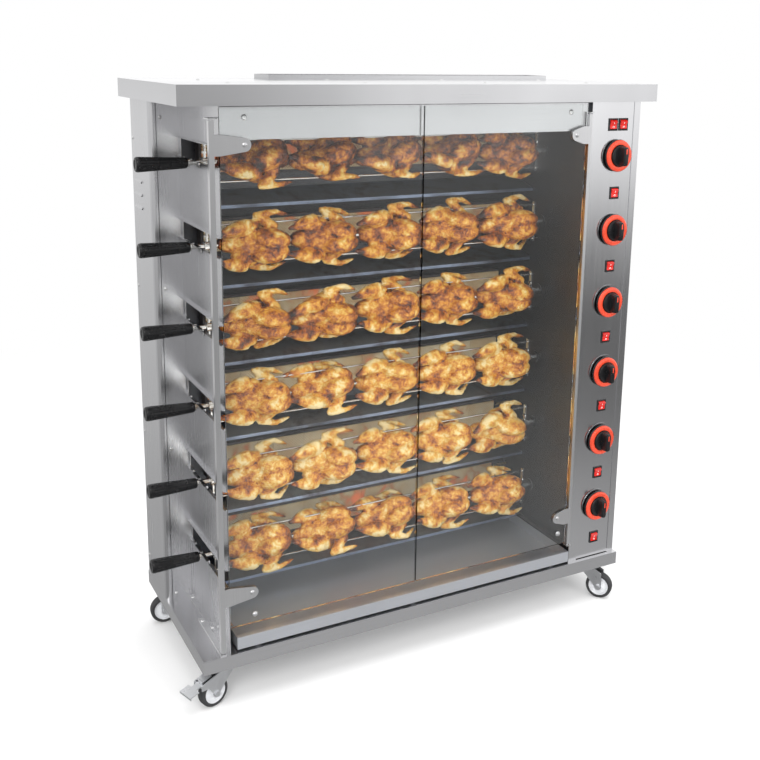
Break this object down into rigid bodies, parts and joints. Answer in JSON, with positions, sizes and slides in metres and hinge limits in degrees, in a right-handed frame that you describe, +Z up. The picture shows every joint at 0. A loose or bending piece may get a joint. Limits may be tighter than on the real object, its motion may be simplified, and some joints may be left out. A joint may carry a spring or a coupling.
{
  "type": "rotisserie oven",
  "caption": "Free-standing stainless rotisserie oven with horizontal spits behind two glass doors, a control column, a drip tray and swivel castors.",
  "frame": {"origin": "on the floor, under the middle of the whole object's box, handles included", "axes": "+Z up, -Y to the front with the glass doors, +X towards the control column on the right of a person facing the front"},
  "size_m": [1.335, 0.5443, 1.499],
  "materials": {
    "cabinet_steel": "brushed satin stainless sheet, grain along the sheet",
    "lid_steel": "brushed satin stainless sheet",
    "panel_steel": "fine vertical brushed stainless",
    "cavity_steel": "stainless, dulled and darkened by heat",
    "burner_steel": "heat-darkened steel",
    "burner_ceramic": "matte perforated ceramic",
    "baffle_steel": "heat-blued stainless with fat stains",
    "motor_paint": "satin black paint",
    "switch_black": "fine matte black",
    "gas_brass": "plain drawn",
    "screw_steel": "bright nickel",
    "castor_zinc": "bright zinc-plated pressed steel",
    "hinge_steel": "satin stainless",
    "spit_chrome": "bright chrome plate",
    "handle_bakelite": "black bakelite with a satin sheen",
    "door_glass": "clear toughened glass with polished edges",
    "knob_plastic": "orange-red ring over black",
    "rocker_red": "translucent red",
    "tray_steel": "brushed stainless",
    "wheel_rubber": "dark grey tread on a pale grey hub"
  },
  "bodies": {
    "cabinet": {"plinth": "cabinet_steel", "canopy": "lid_steel", "rear_panel": "cabinet_steel", "rear_left_column": "cabinet_steel", "left_wall": "cabinet_steel", "right_wall": "cavity_steel", "cavity_back": "cavity_steel", "cavity_ceiling": "cabinet_steel", "control_housing": "cabinet_steel", "control_panel": "panel_steel", "burner_boxes": "burner_steel", "burner_tiles": "burner_ceramic", "baffles": "baffle_steel", "spit_motors": "motor_paint", "switch_frames": "switch_black", "gas_rail": "gas_brass", "screws": "screw_steel", "caster_plates": "castor_zinc", "door_pivots": "hinge_steel"},
    "spit_1": {"spit_1": "spit_chrome", "handle_1": "handle_bakelite"},
    "spit_2": {"spit_2": "spit_chrome", "handle_2": "handle_bakelite"},
    "spit_3": {"spit_3": "spit_chrome", "handle_3": "handle_bakelite"},
    "spit_4": {"spit_4": "spit_chrome", "handle_4": "handle_bakelite"},
    "spit_5": {"spit_5": "spit_chrome", "handle_5": "handle_bakelite"},
    "spit_6": {"spit_6": "spit_chrome", "handle_6": "handle_bakelite"},
    "door_left": {"door_left_glass": "door_glass", "door_left_hinge": "hinge_steel"},
    "door_right": {"door_right_glass": "door_glass", "door_right_hinge": "hinge_steel"},
    "knob_1": {"knob_1": "knob_plastic"},
    "knob_2": {"knob_2": "knob_plastic"},
    "knob_3": {"knob_3": "knob_plastic"},
    "knob_4": {"knob_4": "knob_plastic"},
    "knob_5": {"knob_5": "knob_plastic"},
    "knob_6": {"knob_6": "knob_plastic"},
    "rocker_1": {"rocker_1": "rocker_red"},
    "rocker_2": {"rocker_2": "rocker_red"},
    "rocker_3": {"rocker_3": "rocker_red"},
    "rocker_4": {"rocker_4": "rocker_red"},
    "rocker_5": {"rocker_5": "rocker_red"},
    "rocker_6": {"rocker_6": "rocker_red"},
    "rocker_main": {"rocker_main": "rocker_red"},
    "rocker_lamp": {"rocker_lamp": "rocker_red"},
    "drip_tray": {"drip_tray": "tray_steel"},
    "castor_fl": {"caster_fork_fl": "castor_zinc"},
    "wheel_fl": {"wheel_fl": "wheel_rubber"},
    "brake_fl": {"brake_pedal_fl": "castor_zinc"},
    "castor_fr": {"caster_fork_fr": "castor_zinc"},
    "wheel_fr": {"wheel_fr": "wheel_rubber"},
    "castor_rl": {"caster_fork_rl": "castor_zinc"},
    "wheel_rl": {"wheel_rl": "wheel_rubber"},
    "castor_rr": {"caster_fork_rr": "castor_zinc"},
    "wheel_rr": {"wheel_rr": "wheel_rubber"},
    "brake_rr": {"brake_pedal_rr": "castor_zinc"}
  },
  "joints": [
    {"name": "spit_1_turn", "type": "hinge", "parent": "cabinet", "child": "spit_1", "pos_m": [-0.0285, -0.024, 0.3], "axis": [1, 0, 0], "continuous": true},
    {"name": "spit_2_turn", "type": "hinge", "parent": "cabinet", "child": "spit_2", "pos_m": [-0.0285, -0.024, 0.5], "axis": [1, 0, 0], "continuous": true},
    {"name": "spit_3_turn", "type": "hinge", "parent": "cabinet", "child": "spit_3", "pos_m": [-0.0285, -0.024, 0.7], "axis": [1, 0, 0], "continuous": true},
    {"name": "spit_4_turn", "type": "hinge", "parent": "cabinet", "child": "spit_4", "pos_m": [-0.0285, -0.024, 0.9], "axis": [1, 0, 0], "continuous": true},
    {"name": "spit_5_turn", "type": "hinge", "parent": "cabinet", "child": "spit_5", "pos_m": [-0.0285, -0.024, 1.1], "axis": [1, 0, 0], "continuous": true},
    {"name": "spit_6_turn", "type": "hinge", "parent": "cabinet", "child": "spit_6", "pos_m": [-0.0285, -0.024, 1.3], "axis": [1, 0, 0], "continuous": true},
    {"name": "door_left_swing", "type": "hinge", "parent": "cabinet", "child": "door_left", "pos_m": [-0.5535, -0.229, 0.8], "axis": [0, 0, -1], "range_deg": [0, 110]},
    {"name": "door_right_swing", "type": "hinge", "parent": "cabinet", "child": "door_right", "pos_m": [0.467, -0.229, 0.8], "axis": [0, 0, 1], "range_deg": [0, 110]},
    {"name": "knob_1_turn", "type": "hinge", "parent": "cabinet", "child": "knob_1", "pos_m": [0.5625, -0.241, 0.3], "axis": [0, -1, 0], "range_deg": [0, 210]},
    {"name": "knob_2_turn", "type": "hinge", "parent": "cabinet", "child": "knob_2", "pos_m": [0.5625, -0.241, 0.5], "axis": [0, -1, 0], "range_deg": [0, 210]},
    {"name": "knob_3_turn", "type": "hinge", "parent": "cabinet", "child": "knob_3", "pos_m": [0.5625, -0.241, 0.7], "axis": [0, -1, 0], "range_deg": [0, 210]},
    {"name": "knob_4_turn", "type": "hinge", "parent": "cabinet", "child": "knob_4", "pos_m": [0.5625, -0.241, 0.9], "axis": [0, -1, 0], "range_deg": [0, 210]},
    {"name": "knob_5_turn", "type": "hinge", "parent": "cabinet", "child": "knob_5", "pos_m": [0.5625, -0.241, 1.1], "axis": [0, -1, 0], "range_deg": [0, 210]},
    {"name": "knob_6_turn", "type": "hinge", "parent": "cabinet", "child": "knob_6", "pos_m": [0.5625, -0.241, 1.3], "axis": [0, -1, 0], "range_deg": [0, 210]},
    {"name": "rocker_1_tilt", "type": "hinge", "parent": "cabinet", "child": "rocker_1", "pos_m": [0.5625, -0.224, 0.2], "axis": [-1, 0, 0], "range_deg": [0, 20]},
    {"name": "rocker_2_tilt", "type": "hinge", "parent": "cabinet", "child": "rocker_2", "pos_m": [0.5625, -0.224, 0.4], "axis": [-1, 0, 0], "range_deg": [0, 20]},
    {"name": "rocker_3_tilt", "type": "hinge", "parent": "cabinet", "child": "rocker_3", "pos_m": [0.5625, -0.224, 0.6], "axis": [-1, 0, 0], "range_deg": [0, 20]},
    {"name": "rocker_4_tilt", "type": "hinge", "parent": "cabinet", "child": "rocker_4", "pos_m": [0.5625, -0.224, 0.8], "axis": [-1, 0, 0], "range_deg": [0, 20]},
    {"name": "rocker_5_tilt", "type": "hinge", "parent": "cabinet", "child": "rocker_5", "pos_m": [0.5625, -0.224, 1], "axis": [-1, 0, 0], "range_deg": [0, 20]},
    {"name": "rocker_6_tilt", "type": "hinge", "parent": "cabinet", "child": "rocker_6", "pos_m": [0.5625, -0.224, 1.2], "axis": [-1, 0, 0], "range_deg": [0, 20]},
    {"name": "rocker_main_tilt", "type": "hinge", "parent": "cabinet", "child": "rocker_main", "pos_m": [0.5455, -0.224, 1.382], "axis": [-1, 0, 0], "range_deg": [0, 20]},
    {"name": "rocker_lamp_tilt", "type": "hinge", "parent": "cabinet", "child": "rocker_lamp", "pos_m": [0.5795, -0.224, 1.382], "axis": [-1, 0, 0], "range_deg": [0, 20]},
    {"name": "drip_tray_slide", "type": "slide", "parent": "cabinet", "child": "drip_tray", "axis": [0, -1, 0], "range_m": [0, 0.3]},
    {"name": "castor_fl_swivel", "type": "hinge", "parent": "cabinet", "child": "castor_fl", "pos_m": [-0.5405, -0.196, 0.095], "axis": [0, 0, 1], "continuous": true},
    {"name": "wheel_fl_roll", "type": "hinge", "parent": "castor_fl", "child": "wheel_fl", "pos_m": [-0.57474, -0.20713, 0.038], "axis": [0.309, -0.9511, 0], "continuous": true},
    {"name": "brake_fl_press", "type": "hinge", "parent": "castor_fl", "child": "brake_fl", "pos_m": [-0.60898, -0.21825, 0.068], "axis": [0.309, -0.9511, 0], "range_deg": [0, 10]},
    {"name": "castor_fr_swivel", "type": "hinge", "parent": "cabinet", "child": "castor_fr", "pos_m": [0.5755, -0.196, 0.095], "axis": [0, 0, 1], "continuous": true},
    {"name": "wheel_fr_roll", "type": "hinge", "parent": "castor_fr", "child": "wheel_fr", "pos_m": [0.59766, -0.22437, 0.038], "axis": [0.788, 0.6157, 0], "continuous": true},
    {"name": "castor_rl_swivel", "type": "hinge", "parent": "cabinet", "child": "castor_rl", "pos_m": [-0.5405, 0.214, 0.095], "axis": [0, 0, 1], "continuous": true},
    {"name": "wheel_rl_roll", "type": "hinge", "parent": "castor_rl", "child": "wheel_rl", "pos_m": [-0.57636, 0.21714, 0.038], "axis": [-0.0872, -0.9962, 0], "continuous": true},
    {"name": "castor_rr_swivel", "type": "hinge", "parent": "cabinet", "child": "castor_rr", "pos_m": [0.5755, 0.214, 0.095], "axis": [0, 0, 1], "continuous": true},
    {"name": "wheel_rr_roll", "type": "hinge", "parent": "castor_rr", "child": "wheel_rr", "pos_m": [0.54167, 0.22631, 0.038], "axis": [-0.342, -0.9397, 0], "continuous": true},
    {"name": "brake_rr_press", "type": "hinge", "parent": "castor_rr", "child": "brake_rr", "pos_m": [0.50784, 0.23863, 0.068], "axis": [-0.342, -0.9397, 0], "range_deg": [0, 10]}
  ]
}
